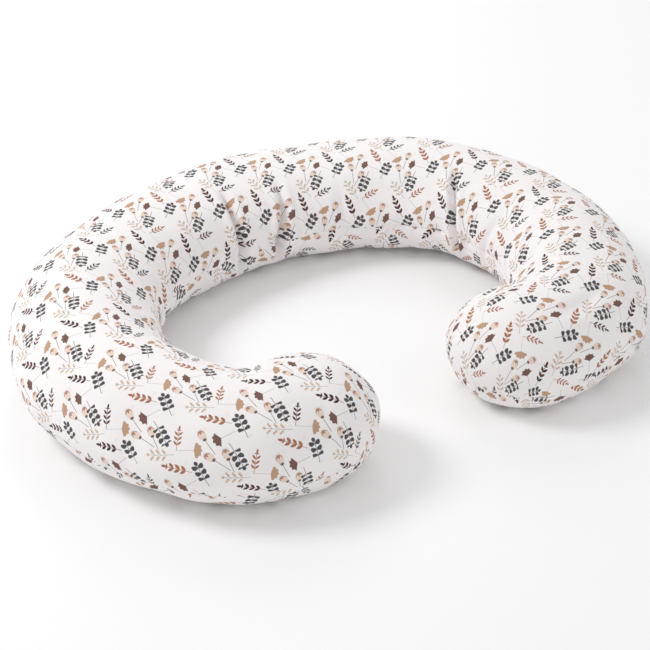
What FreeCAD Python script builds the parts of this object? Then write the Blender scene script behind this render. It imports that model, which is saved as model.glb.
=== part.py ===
"""Nursing pillow: a C-shaped pillow in a two-panel cotton cover with a concealed zip.

The plan of the tube's centreline is three tangent arcs on each side of the middle:
spine, shoulder and lobe. The section is a flat base, two lower side arcs, two upper
side arcs and one crown arc. Every textile layer is the same section drawn at its own
depth below the cover's outside face, so that the layers nest without touching.
All bodies are built about the centre of the spine arc, on the floor, and are then
moved together so that the origin is under the middle of the whole pillow.
"""
import FreeCAD, Part
import math
import os
import Sketcher

V = FreeCAD.Vector
PARTS_FOLDER = "parts"
TOLERANCE = 0.01

# alias, value (mm or degrees), what it is
DIMENSIONS = [
    ("spine_radius", 412, "centreline radius of the back of the C"),
    ("spine_half_angle", 24.5, "the spine arc runs this far each side of the middle"),
    ("shoulder_radius", 226, "centreline radius of each shoulder"),
    ("shoulder_angle", 108, "angle of each shoulder arc"),
    ("lobe_radius", 105, "centreline radius of each lobe"),
    ("lobe_angle", 60, "angle of each lobe arc"),
    ("half_width", 87, "half the width of the stuffed tube"),
    ("pillow_height", 121, "floor to the top of the crown"),
    ("seam_height", 53, "floor to the perimeter seam"),
    ("crown_side_radius", 48, "radius of the side above the seam"),
    ("cover_thickness", 0.6, "woven cotton of the cover"),
    ("cover_seam_depth", 0.9, "outside face of the cover's overlocked edge"),
    ("overlock_thickness", 1.2, "two fabric edges under one overlock stitch"),
    ("overlock_drop", 9, "width of an overlocked edge, folded down"),
    ("overlock_start", 0.5, "an overlocked edge starts this far under the seam"),
    ("overlock_cut", 6, "depth of the cut that keeps the overlocked edge off the zip"),
    ("overlock_play", 0.2, "that cut is this much longer than the zip at each end, as an angle"),
    ("care_label_depth", 2.3, "outside face of the care label"),
    ("care_label_thickness", 0.4, "folded satin tape"),
    ("care_label_drop", 36, "length of the care label below the seam"),
    ("care_label_angle", 2.3, "width of the care label as an angle of the spine"),
    ("care_label_place", 23.2, "middle of the care label, as an angle of the spine"),
    ("case_depth", 3.0, "outside face of the inner case"),
    ("case_thickness", 0.5, "non-woven fabric of the inner case"),
    ("case_seam_depth", 3.7, "outside face of the inner case's overlocked edge"),
    ("case_seam_thickness", 1.0, "the inner case's two edges"),
    ("fill_depth", 5.0, "outside of the fibre filling"),
    ("zip_half_angle", 21.5, "the tapes run this far each side of the middle"),
    ("opening_cut", 1.8, "the zip's opening is cut this deep, through the cover alone"),
    ("chain_half_angle", 20.4, "the coils run this far each side of the middle"),
    ("zip_opening", 11, "height of the gap between the cover's two edges"),
    ("tape_depth", 0.7, "outside face of the zip tapes"),
    ("tape_thickness", 0.6, "woven polyester tape"),
    ("tape_gap", 1.6, "gap between the two tapes"),
    ("tape_reach", 16, "seam line to a tape's far edge"),
    ("coil_gap", 1.3, "slot between the two coils, where the slider's post runs"),
    ("coil_height", 1.9, "one coil, measured across the zip"),
    ("coil_thickness", 1.5, "one coil, measured through the zip"),
    ("stop_angle", 0.3, "length of a stop as an angle of the spine"),
    ("stop_clearance", 0.06, "gap between a coil's end and its stop, as an angle"),
    ("stop_thickness", 1.9, "metal stop, measured through the zip"),
    ("slider_angle", 1.05, "length of the slider as an angle of the spine"),
    ("slider_place", 19.85, "middle of the closed slider, as an angle of the spine"),
    ("slider_half_height", 4.1, "half the slider, measured across the zip"),
    ("flange_thickness", 0.8, "rolled edge of the slider's outer plate"),
    ("flange_inside", -0.4, "how far below the outside face the flanges reach"),
    ("outer_plate_inside", 1.1, "outer plate's inner face above the cover's outside"),
    ("outer_plate_thickness", 0.9, "outer plate of the slider"),
    ("inner_plate_outside", -1.6, "inner plate's outer face below the cover's outside"),
    ("inner_plate_thickness", 0.8, "inner plate of the slider"),
    ("post_thickness", 0.6, "post that joins the two plates, across the zip"),
    ("post_angle", 0.2, "length of the post as an angle of the spine"),
    ("bail_length", 7.0, "arch that holds the pull tab, along the zip"),
    ("bail_width", 1.8, "arch, measured across the zip"),
    ("bail_foot", 1.0, "length of each foot of the arch"),
    ("bail_bevel", 0.2, "bevel along the arch's outside edges"),
    ("bail_roof_inside", 3.7, "underside of the arch above the cover's outside"),
    ("bail_roof_outside", 4.4, "top of the arch above the cover's outside"),
    ("pull_pin_radius", 0.45, "crossbar of the pull tab, under the arch"),
    ("pull_pin_reach", 2.95, "crossbar's centre above the cover's outside"),
    ("pull_pin_offset", 1.6, "crossbar's centre from the slider's middle"),
    ("pull_length", 22, "crossbar's centre to the far end of the pull tab"),
    ("pull_width", 5.6, "pull tab, measured across the zip"),
    ("pull_thickness", 0.9, "pull tab"),
    ("pull_eye_length", 6.5, "opening that goes round the arch"),
    ("pull_eye_width", 3.0, "opening that goes round the arch"),
    ("pull_hole_radius", 1.1, "hole near the end of the pull tab"),
    ("stitch_pitch_angle", 0.55, "one topstitch to the next, as an angle"),
    ("stitch_count", 74, "topstitches in each row beside the zip"),
    ("stitch_angle", 0.36, "length of one topstitch as an angle"),
    ("stitch_width", 0.5, "sewing thread, across the row"),
    ("stitch_thickness", 0.35, "sewing thread standing on the cloth"),
    ("stitch_row", 8.4, "seam line to the topstitch row"),
    ("closing_stitch_count", 25, "stitches that close the inner case"),
    ("closing_stitch_row", 3.0, "seam line to the closing stitches"),
    ("label_place", 147, "heading of the side label on the right lobe"),
    ("label_width", 25, "side label, along the seam"),
    ("label_drop", 16, "side label, from the seam to its folded edge"),
    ("label_thickness", 1.0, "side label, folded double"),
    ("label_gap", 0.9, "side label's sewn end to the cover"),
    ("label_tilt", 35, "side label's angle out from hanging straight down"),
]

document = FreeCAD.newDocument("nursing_pillow")
sheet = document.addObject("Spreadsheet::Sheet", "dims")
for row, (alias, value, meaning) in enumerate(DIMENSIONS, start=1):
    sheet.set(f"A{row}", alias)
    sheet.set(f"B{row}", str(value))
    sheet.set(f"C{row}", meaning)
    sheet.setAlias(f"B{row}", alias)
document.recompute()


def measure(expression):
    """The number that an expression on the sheet gives."""
    return float(getattr(sheet.evalExpression(expression), "Value", 0)
                 or sheet.evalExpression(expression))


# ---- expressions shared by every layer ------------------------------------------------
SPINE = "dims.spine_radius"
WIDTH = "dims.half_width"
SEAM = "dims.seam_height"
SIDE = "dims.crown_side_radius"
RISE = "(dims.pillow_height - dims.seam_height)"
CROWN = f"((({WIDTH} - {SIDE})^2 + {RISE}^2 - {SIDE}^2) / (2 * ({RISE} - {SIDE})))"
CROWN_Z = f"(dims.pillow_height - {CROWN})"
JOIN_X = f"(({WIDTH} - {SIDE}) / ({CROWN} - {SIDE}))"
JOIN_Z = f"(({SEAM} - {CROWN_Z}) / ({CROWN} - {SIDE}))"
FACE = f"({SPINE} + {WIDTH})"

TURN_1 = "dims.spine_half_angle"
TURN_2 = "(dims.spine_half_angle + dims.shoulder_angle)"
TURN_3 = "(dims.spine_half_angle + dims.shoulder_angle + dims.lobe_angle)"
STEP_1 = "(dims.spine_radius - dims.shoulder_radius)"
STEP_2 = "(dims.shoulder_radius - dims.lobe_radius)"
SHOULDER_X = f"({STEP_1} * sin({TURN_1}))"
SHOULDER_Y = f"({STEP_1} * cos({TURN_1}))"
LOBE_X = f"({SHOULDER_X} + {STEP_2} * sin({TURN_2}))"
LOBE_Y = f"({SHOULDER_Y} + {STEP_2} * cos({TURN_2}))"
END_X = f"({LOBE_X} + dims.lobe_radius * sin({TURN_3}))"
END_Y = f"({LOBE_Y} + dims.lobe_radius * cos({TURN_3}))"
BACK_Y = FACE
FRONT_Y = f"({LOBE_Y} - dims.lobe_radius - {WIDTH})"
SHIFT_Y = f"(-({BACK_Y} + {FRONT_Y}) / 2)"


# ---- sketching ------------------------------------------------------------------------
def origin_feature(body, role):
    return next(item for item in body.Origin.OriginFeatures if item.Role == role)


def new_sketch(body, name, plane="YZ_Plane"):
    sketch = body.newObject("Sketcher::SketchObject", name)
    sketch.AttachmentSupport = (origin_feature(body, plane), [""])
    sketch.MapMode = "FlatFace"
    return sketch


def bind(sketch, constraint, name, expression):
    """Adds one dimension and ties it to the sheet."""
    index = sketch.addConstraint(constraint)
    sketch.renameConstraint(index, name)
    sketch.setExpression(f"Constraints.{name}", expression)


def draw(sketch, corners, closed=True, tag=""):
    """Draws a run of corners (x, y, bend), each coordinate an expression.

    bend shapes the edge to the next corner: None is straight, and (x, y, way) is an arc
    about that centre, anticlockwise when way is 1 and clockwise when it is -1.
    """
    points = [V(measure(x), measure(y), 0) for x, y, _ in corners]
    count = len(corners) if closed else len(corners) - 1
    ends = []
    for i in range(count):
        start, finish = points[i], points[(i + 1) % len(points)]
        bend = corners[i][2]
        if bend is None:
            index = sketch.addGeometry(Part.LineSegment(start, finish), False)
            ends.append((index, 1, 2))
            continue
        centre = V(measure(bend[0]), measure(bend[1]), 0)
        first, last = (start, finish) if bend[2] > 0 else (finish, start)
        angles = [math.atan2(p.y - centre.y, p.x - centre.x) for p in (first, last)]
        circle = Part.Circle(centre, V(0, 0, 1), (start - centre).Length)
        index = sketch.addGeometry(Part.ArcOfCircle(circle, angles[0], angles[1]), False)
        ends.append((index, 1, 2) if bend[2] > 0 else (index, 2, 1))
    for i, (index, head, tail) in enumerate(ends):
        if closed or i < count - 1:
            following = ends[(i + 1) % count]
            sketch.addConstraint(
                Sketcher.Constraint("Coincident", index, tail, following[0], following[1]))
    for i, (x, y, _) in enumerate(corners):
        index, place = (ends[i][0], ends[i][1]) if i < count else (ends[-1][0], ends[-1][2])
        bind(sketch, Sketcher.Constraint("DistanceX", index, place, points[i].x),
             f"across{tag}{i}", x)
        bind(sketch, Sketcher.Constraint("DistanceY", index, place, points[i].y),
             f"up{tag}{i}", y)
    for i in range(count):
        bend = corners[i][2]
        if bend is not None:
            chord = points[(i + 1) % len(points)] - points[i]
            steep = abs(chord.y) > abs(chord.x)
            kind, expression = ("DistanceX", bend[0]) if steep else ("DistanceY", bend[1])
            centre = Sketcher.Constraint(kind, ends[i][0], 3, measure(expression))
            bind(sketch, centre, f"centre{tag}{i}", expression)


def rectangle(x_low, x_high, y_low, y_high):
    return [(x_low, y_low, None), (x_high, y_low, None),
            (x_high, y_high, None), (x_low, y_high, None)]


# ---- the pillow's section at any depth -------------------------------------------------
def reversed_run(run):
    """The same corners walked the other way."""
    out = []
    for i in range(len(run) - 1, -1, -1):
        bend = run[i - 1][2] if i > 0 else None
        turned = None if bend is None else (bend[0], bend[1], -bend[2])
        out.append((run[i][0], run[i][1], turned))
    return out


def upper_half(middle, depth):
    """Seam to crown top, on the outer side of the centreline."""
    side_centre = f"({middle} + {WIDTH} - {SIDE})"
    crown_radius = f"({CROWN} - {depth})"
    return [
        (f"({middle} + {WIDTH} - {depth})", SEAM, (side_centre, SEAM, 1)),
        (f"({middle} + {JOIN_X} * {crown_radius})", f"({CROWN_Z} + {JOIN_Z} * {crown_radius})",
         (middle, CROWN_Z, 1)),
        (middle, f"(dims.pillow_height - {depth})", None),
    ]


def upper_full(middle, depth):
    """Outer seam over the crown to the inner seam."""
    half = upper_half(middle, depth)
    side_centre = f"({middle} - {WIDTH} + {SIDE})"
    crown_radius = f"({CROWN} - {depth})"
    return half[:2] + [
        (f"({middle} - {JOIN_X} * {crown_radius})", half[1][1], (side_centre, SEAM, 1)),
        (f"({middle} - {WIDTH} + {depth})", SEAM, None),
    ]


def lower_half(middle, depth):
    """Middle of the base to the outer seam."""
    flat_end = f"({middle} + {WIDTH} - {SEAM})"
    return [
        (middle, depth, None),
        (flat_end, depth, (flat_end, SEAM, 1)),
        (f"({middle} + {WIDTH} - {depth})", SEAM, None),
    ]


def lower_full(middle, depth):
    """Inner seam under the base to the outer seam."""
    flat_start = f"({middle} - {WIDTH} + {SEAM})"
    return [
        (f"({middle} - {WIDTH} + {depth})", SEAM, (flat_start, SEAM, 1)),
        (flat_start, depth, None),
    ] + lower_half(middle, depth)[1:]


def ring(run, middle, depth, thickness):
    """A closed band between two depths of one run."""
    return run(middle, depth) + reversed_run(run(middle, f"({depth} + {thickness})"))


def whole(full, middle, depth):
    """The closed outline at one depth: crown, then base (full), or one half of them."""
    upper, lower = (upper_full, lower_full) if full else (upper_half, lower_half)
    top = upper(middle, depth)
    base = lower(middle, depth)
    return top[:-1] + [base[0]] + base[1:-1] if full else top + base[:-1]


# ---- bodies -----------------------------------------------------------------------------
bodies = []


def new_body(label):
    body = document.addObject("PartDesign::Body", label)
    body.Label = label
    body.AllowCompound = True
    body.setExpression("Placement.Base.y", SHIFT_Y)
    bodies.append(body)
    return body


def sweep_round_plan(body, profile, dome):
    """Carries a section along one side, closes its end, and mirrors the side."""
    path = new_sketch(body, "Plan", "XY_Plane")
    draw(path, [
        ("0", SPINE, ("0", "0", -1)),
        (f"({SPINE} * sin({TURN_1}))", f"({SPINE} * cos({TURN_1}))",
         (SHOULDER_X, SHOULDER_Y, -1)),
        (f"({SHOULDER_X} + dims.shoulder_radius * sin({TURN_2}))",
         f"({SHOULDER_Y} + dims.shoulder_radius * cos({TURN_2}))", (LOBE_X, LOBE_Y, -1)),
        (END_X, END_Y, None),
    ], closed=False)
    section = new_sketch(body, "Section")
    for number, outline in enumerate(profile):
        draw(section, outline, tag=f"_{number}_")
    pipe = body.newObject("PartDesign::AdditivePipe", "Side")
    pipe.Profile = section
    pipe.Spine = (path, ["Edge1", "Edge2", "Edge3"])
    document.recompute()
    half = new_sketch(body, "EndSection")
    half.AttachmentOffset = FreeCAD.Placement(V(0, 0, 0), FreeCAD.Rotation(V(0, 1, 0), -1))
    half.setExpression("AttachmentOffset.Base.x", END_Y)
    half.setExpression("AttachmentOffset.Base.z", END_X)
    half.setExpression("AttachmentOffset.Rotation.Angle", f"-{TURN_3}")
    for number, outline in enumerate(dome):
        draw(half, outline, tag=f"_{number}_")
    end = body.newObject("PartDesign::Revolution", "End")
    end.Profile = half
    end.ReferenceAxis = (half, ["V_Axis"])
    end.Angle = 180
    end.Reversed = True
    document.recompute()
    mirror = body.newObject("PartDesign::Mirrored", "OtherSide")
    mirror.Originals = [pipe, end]
    mirror.MirrorPlane = (origin_feature(body, "YZ_Plane"), [""])
    body.Tip = mirror
    document.recompute()
    return body



def band_sketch(body, name, outlines, place="0"):
    """A sketch on the plane through the spine's axis at one heading."""
    sketch = new_sketch(body, name)
    sketch.AttachmentOffset = FreeCAD.Placement(V(0, 0, 0), FreeCAD.Rotation(V(0, 1, 0), -1))
    sketch.setExpression("AttachmentOffset.Rotation.Angle", f"-({place})")
    for number, outline in enumerate(outlines):
        draw(sketch, outline, tag=f"_{number}_")
    return sketch


def turn_about_spine(body, kind, name, outlines, angle, place="0"):
    """A Revolution or Groove that follows the spine arc, centred on one heading."""
    sketch = band_sketch(body, f"{name}Section", outlines, place)
    document.recompute()
    feature = body.newObject(f"PartDesign::{kind}", name)
    feature.Profile = sketch
    feature.ReferenceAxis = (sketch, ["V_Axis"])
    feature.Midplane = True
    feature.setExpression("Angle", angle)
    body.Tip = feature
    document.recompute()
    return feature


def side_strip(middle, outer, upper, depth, thickness, near, far):
    """A band that follows one side of the section, from near to far from the seam line."""
    radius = SIDE if upper else SEAM
    sign = "+" if outer else "-"
    centre = f"({middle} {sign} ({WIDTH} - {radius}))"
    way = 1 if outer == upper else -1
    outside = f"({radius} - ({depth}))"
    inside = f"({radius} - ({depth}) - ({thickness}))"
    low, high = [f"({SEAM} {'+' if upper else '-'} ({away}))" for away in (near, far)]

    def across(arc_radius, away):
        return f"({centre} {sign} sqrt({arc_radius}^2 - ({away})^2))"

    return [
        (across(outside, near), low, (centre, SEAM, way)),
        (across(outside, far), high, None),
        (across(inside, far), high, (centre, SEAM, -way)),
        (across(inside, near), low, None),
    ]


# ---- the cover and the inner case --------------------------------------------------------
def make_panel(label, upper, depth, thickness):
    full, half = (upper_full, upper_half) if upper else (lower_full, lower_half)
    body = new_body(label)
    return sweep_round_plan(body, [ring(full, SPINE, depth, thickness)],
                            [ring(half, "0", depth, thickness)])


def make_cover_panel(label, upper):
    """A cover panel, cut back along the zip."""
    body = make_panel(label, upper, "0", "dims.cover_thickness")
    before = body.Shape.Volume
    half_gap = "dims.zip_opening / 2"
    low, high = (SEAM, f"({SEAM} + {half_gap})") if upper else (f"({SEAM} - {half_gap})", SEAM)
    cut = rectangle(f"({FACE} - dims.opening_cut)", f"({FACE} + dims.cover_thickness)",
                    low, high)
    turn_about_spine(body, "Groove", "ZipOpening", [cut], "2 * dims.zip_half_angle")
    if not body.Shape.Volume < before:
        raise RuntimeError(f"{label}: the zip opening was not cut")
    return body


def make_overlock(label, depth, thickness, open_at_zip):
    """The joined edge of two panels, folded down inside, all round the outline."""
    body = new_body(label)
    reach = ("dims.overlock_start", "dims.overlock_drop")
    sweep_round_plan(
        body,
        [side_strip(SPINE, True, False, depth, thickness, *reach),
         side_strip(SPINE, False, False, depth, thickness, *reach)],
        [side_strip("0", True, False, depth, thickness, *reach)])
    if open_at_zip:
        before = body.Shape.Volume
        cut = rectangle(f"({FACE} - dims.overlock_cut)", FACE,
                        f"({SEAM} - 2 * dims.overlock_drop)", SEAM)
        turn_about_spine(body, "Groove", "ZipGap", [cut],
                         "2 * (dims.zip_half_angle + dims.overlock_play)")
        if not body.Shape.Volume < before:
            raise RuntimeError(f"{label}: the gap for the zip was not cut")
    return body


def make_filling():
    body = new_body("fibre_filling")
    return sweep_round_plan(body, [whole(True, SPINE, "dims.fill_depth")],
                            [whole(False, "0", "dims.fill_depth")])


def make_stitches(label, outline, count):
    """One row of stitches, evenly spaced about the spine's axis."""
    body = new_body(label)
    span = f"((dims.{count} - 1) * dims.stitch_pitch_angle)"
    stitch = turn_about_spine(body, "Revolution", "Stitch", [outline], "dims.stitch_angle",
                              f"{span} / 2")
    row = body.newObject("PartDesign::PolarPattern", "Row")
    row.Originals = [stitch]
    row.Axis = (origin_feature(body, "Z_Axis"), [""])
    row.setExpression("Angle", span)
    row.setExpression("Occurrences", f"dims.{count}")
    body.Tip = row
    document.recompute()
    return body


def make_care_label():
    """Blank washing label, caught in the seam and hanging inside the cover."""
    body = new_body("care_label")
    strip = side_strip(SPINE, True, False, "dims.care_label_depth", "dims.care_label_thickness",
                       "1", "dims.care_label_drop")
    turn_about_spine(body, "Revolution", "Tape", [strip], "dims.care_label_angle",
                     "dims.care_label_place")
    return body


def make_side_label():
    """Blank folded label on the outside of the right lobe's seam, at its hinge's origin."""
    body = new_body("side_label")
    sketch = new_sketch(body, "Fold")
    half = "dims.label_thickness / 2"
    draw(sketch, [
        (f"({half})", "0", None),
        (f"(-{half})", "0", None),
        (f"(-{half})", f"(-dims.label_drop + {half})", ("0", f"(-dims.label_drop + {half})", 1)),
        (f"({half})", f"(-dims.label_drop + {half})", None),
    ])
    document.recompute()
    pad = body.newObject("PartDesign::Pad", "Tape")
    pad.Profile = sketch
    pad.Midplane = True
    pad.setExpression("Length", "dims.label_width")
    reach = f"(dims.lobe_radius + {WIDTH} + dims.label_gap)"
    body.setExpression("Placement.Base.y", None)
    body.setExpression(
        "Placement",
        f"create(<<placement>>; create(<<vector>>; "
        f"{LOBE_X} + {reach} * sin(dims.label_place); "
        f"{LOBE_Y} + {reach} * cos(dims.label_place) + {SHIFT_Y}; {SEAM}); "
        f"create(<<rotation>>; -dims.label_place; 0; dims.label_tilt))")
    document.recompute()
    return body


# ---- the zip -----------------------------------------------------------------------------
def make_tape(label, upper):
    body = new_body(label)
    strip = side_strip(SPINE, True, upper, "dims.tape_depth", "dims.tape_thickness",
                       "dims.tape_gap / 2", "dims.tape_reach")
    turn_about_spine(body, "Revolution", "Tape", [strip], "2 * dims.zip_half_angle")
    return body


def coil_outline(side, thickness):
    """A coil's section, standing on its tape: side is 1 above the seam and -1 below."""
    foot = f"({FACE} - dims.tape_depth)"
    near = f"({SEAM} + {side} * dims.coil_gap / 2)"
    far = f"({SEAM} + {side} * (dims.coil_gap / 2 + dims.coil_height))"
    low, high = (near, far) if side > 0 else (far, near)
    return rectangle(foot, f"({foot} + {thickness})", low, high)


def make_coil(label, side):
    body = new_body(label)
    turn_about_spine(body, "Revolution", "Coil", [coil_outline(side, "dims.coil_thickness")],
                     "2 * dims.chain_half_angle")
    return body


STOP_PLACE = "(dims.chain_half_angle + dims.stop_clearance + dims.stop_angle / 2)"


def make_top_stops():
    """Two metal stops, one on each tape, at the closed end of the zip."""
    body = new_body("zip_top_stops")
    outlines = [coil_outline(side, "dims.stop_thickness") for side in (1, -1)]
    turn_about_spine(body, "Revolution", "Stops", outlines, "dims.stop_angle", STOP_PLACE)
    return body


def make_bottom_stop():
    """One metal stop across both tapes, at the open end of the zip."""
    body = new_body("zip_bottom_stop")
    foot = f"({FACE} - dims.tape_depth)"
    reach = "(dims.coil_gap / 2 + dims.coil_height)"
    outline = rectangle(foot, f"({foot} + dims.stop_thickness)",
                        f"({SEAM} - {reach})", f"({SEAM} + {reach})")
    turn_about_spine(body, "Revolution", "Stop", [outline], "dims.stop_angle",
                     f"-{STOP_PLACE}")
    return body


def place_on_slider(body):
    """The slider and its pull are drawn at the middle, then turned to the closed end."""
    body.setExpression("Placement.Base.y", None)
    body.setExpression(
        "Placement",
        f"create(<<placement>>; create(<<vector>>; 0; {SHIFT_Y}; 0); "
        f"create(<<rotation>>; -dims.slider_place; 0; 0))")
    document.recompute()


def make_slider():
    body = new_body("zip_slider")
    low, high = [f"({SEAM} {sign} dims.slider_half_height)" for sign in "-+"]
    low_flange = f"({low} + dims.flange_thickness)"
    high_flange = f"({high} - dims.flange_thickness)"
    flange = f"({FACE} + dims.flange_inside)"
    plate_inside = f"({FACE} + dims.outer_plate_inside)"
    plate_outside = f"({plate_inside} + dims.outer_plate_thickness)"
    channel = [(flange, low, None), (plate_outside, low, None), (plate_outside, high, None),
               (flange, high, None), (flange, high_flange, None),
               (plate_inside, high_flange, None), (plate_inside, low_flange, None),
               (flange, low_flange, None)]
    back_outside = f"({FACE} + dims.inner_plate_outside)"
    back = rectangle(f"({back_outside} - dims.inner_plate_thickness)", back_outside, low, high)
    turn_about_spine(body, "Revolution", "OuterPlate", [channel], "dims.slider_angle")
    turn_about_spine(body, "Revolution", "InnerPlate", [back], "dims.slider_angle")
    post = rectangle(f"({back_outside} - dims.inner_plate_thickness / 2)",
                     f"({plate_inside} + dims.outer_plate_thickness / 2)",
                     f"({SEAM} - dims.post_thickness / 2)", f"({SEAM} + dims.post_thickness / 2)")
    turn_about_spine(body, "Revolution", "Post", [post], "dims.post_angle",
                     "(dims.slider_angle - dims.post_angle) / 2")
    make_bail(body, plate_outside)
    place_on_slider(body)
    return body


def make_bail(body, plate_outside):
    """The arch on the outer plate, which the pull tab hangs from."""
    sketch = new_sketch(body, "ArchSide", "XY_Plane")
    sketch.setExpression("AttachmentOffset.Base.z", SEAM)
    foot = f"({plate_outside} - dims.outer_plate_thickness / 2)"
    inside = f"({FACE} + dims.bail_roof_inside)"
    outside = f"({FACE} + dims.bail_roof_outside)"
    end = "(dims.bail_length / 2)"
    gap = f"({end} - dims.bail_foot)"
    draw(sketch, [
        (f"(-{end})", foot, None), (f"(-{gap})", foot, None), (f"(-{gap})", inside, None),
        (gap, inside, None), (gap, foot, None), (end, foot, None),
        (end, outside, None), (f"(-{end})", outside, None)])
    document.recompute()
    pad = body.newObject("PartDesign::Pad", "Arch")
    pad.Profile = sketch
    pad.Midplane = True
    pad.setExpression("Length", "dims.bail_width")
    document.recompute()
    bevel = body.newObject("PartDesign::Chamfer", "ArchBevel")
    roof = measure(outside)
    edges = []
    for number, edge in enumerate(pad.Shape.Edges, start=1):
        middle = edge.BoundBox.Center
        along_zip = edge.BoundBox.XLength > 2 * measure("dims.bail_foot")
        if along_zip and abs(middle.y - roof) < TOLERANCE:
            edges.append(f"Edge{number}")
    bevel.Base = (pad, edges)
    bevel.setExpression("Size", "dims.bail_bevel")
    body.Tip = bevel
    document.recompute()


def make_pull_tab():
    """Flat tab with an eye round the arch, whose crossbar is the pivot."""
    body = new_body("zip_pull_tab")
    reach = f"({FACE} + dims.pull_pin_reach)"
    pivot = "dims.pull_pin_offset"
    half = "(dims.pull_width / 2)"
    tip = f"({pivot} - dims.pull_length)"
    eye_near = f"({pivot} - dims.pull_pin_radius)"
    eye_far = f"({eye_near} - dims.pull_eye_length)"
    eye_half = "(dims.pull_eye_width / 2)"
    round_centre = f"({tip} + {half})"
    outline = [
        (f"({pivot})", f"({SEAM} - {half})", None),
        (f"({pivot})", f"({SEAM} + {half})", None),
        (round_centre, f"({SEAM} + {half})", (round_centre, SEAM, 1)),
        (round_centre, f"({SEAM} - {half})", None)]
    eye = rectangle(eye_far, eye_near, f"({SEAM} - {eye_half})", f"({SEAM} + {eye_half})")
    sketch = new_sketch(body, "TabFace", "XZ_Plane")
    sketch.setExpression("AttachmentOffset.Base.z", f"-{reach}")
    draw(sketch, outline, tag="_0_")
    draw(sketch, eye, tag="_1_")
    hole = sketch.addGeometry(Part.Circle(
        V(measure(round_centre), measure(SEAM), 0), V(0, 0, 1), 1), False)
    bind(sketch, Sketcher.Constraint("DistanceX", hole, 3, measure(round_centre)),
         "hole_x", round_centre)
    bind(sketch, Sketcher.Constraint("DistanceY", hole, 3, measure(SEAM)), "hole_y", SEAM)
    bind(sketch, Sketcher.Constraint("Radius", hole, 1), "hole_radius", "dims.pull_hole_radius")
    document.recompute()
    pad = body.newObject("PartDesign::Pad", "Tab")
    pad.Profile = sketch
    pad.Midplane = True
    pad.setExpression("Length", "dims.pull_thickness")
    document.recompute()
    pin = new_sketch(body, "PinEnd", "XY_Plane")
    pin.setExpression("AttachmentOffset.Base.z", SEAM)
    circle = pin.addGeometry(Part.Circle(V(1, 1, 0), V(0, 0, 1), 1), False)
    bind(pin, Sketcher.Constraint("DistanceX", circle, 3, measure(pivot)), "pin_x", pivot)
    bind(pin, Sketcher.Constraint("DistanceY", circle, 3, measure(reach)), "pin_y", reach)
    bind(pin, Sketcher.Constraint("Radius", circle, 1), "pin_radius", "dims.pull_pin_radius")
    document.recompute()
    bar = body.newObject("PartDesign::Pad", "Crossbar")
    bar.Profile = pin
    bar.Midplane = True
    bar.setExpression("Length", "dims.pull_width")
    body.Tip = bar
    place_on_slider(body)
    return body


def make_all():
    make_cover_panel("cover_top_panel", True)
    make_cover_panel("cover_bottom_panel", False)
    make_overlock("cover_seam_overlock", "dims.cover_seam_depth", "dims.overlock_thickness", True)
    make_panel("inner_case_top_panel", True, "dims.case_depth", "dims.case_thickness")
    make_panel("inner_case_bottom_panel", False, "dims.case_depth", "dims.case_thickness")
    make_overlock("inner_case_seam_overlock", "dims.case_seam_depth",
                  "dims.case_seam_thickness", False)
    make_filling()
    make_care_label()
    make_side_label()
    for label, upper in (("zip_tape_upper", True), ("zip_tape_lower", False)):
        make_tape(label, upper)
    for label, side in (("zip_coil_upper", 1), ("zip_coil_lower", -1)):
        make_coil(label, side)
    make_top_stops()
    make_bottom_stop()
    make_slider()
    make_pull_tab()
    stitch_rows = (
        ("zip_topstitch_upper", True, True, "0", "dims.stitch_row", "stitch_count"),
        ("zip_topstitch_lower", True, False, "0", "dims.stitch_row", "stitch_count"),
        ("inner_case_closing_stitch", False, True, "dims.case_depth",
         "dims.closing_stitch_row", "closing_stitch_count"),
    )
    for label, outer, upper, depth, row, count in stitch_rows:
        outline = side_strip(SPINE, outer, upper, f"{depth} - dims.stitch_thickness",
                             "dims.stitch_thickness", f"{row} - dims.stitch_width / 2",
                             f"{row} + dims.stitch_width / 2")
        make_stitches(label, outline, count)


def check_all():
    for item in document.Objects:
        if "Invalid" in item.State or "Error" in item.State:
            raise RuntimeError(f"{item.Name}: {item.State}")
    for body in bodies:
        if body.Shape.isNull() or not body.Shape.isValid() or not body.Shape.Solids:
            raise RuntimeError(f"{body.Label}: its shape is not a valid solid")


def export_all():
    os.makedirs(PARTS_FOLDER, exist_ok=True)
    for body in bodies:
        body.Shape.exportStep(os.path.join(PARTS_FOLDER, f"{body.Label}.step"))
        box = body.Shape.optimalBoundingBox(False, False)
        print(f"{body.Label}: {len(body.Shape.Solids)} solids, {body.Shape.Volume:.0f} mm3, "
              f"x {box.XMin:.1f} {box.XMax:.1f} y {box.YMin:.1f} {box.YMax:.1f} "
              f"z {box.ZMin:.1f} {box.ZMax:.1f}")


make_all()
check_all()
export_all()
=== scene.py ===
"""Looks of the nursing pillow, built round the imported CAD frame. All lengths are in metres."""
import math

import bmesh
import bpy
import numpy as np
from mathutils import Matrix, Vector
from mathutils.bvhtree import BVHTree


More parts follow.
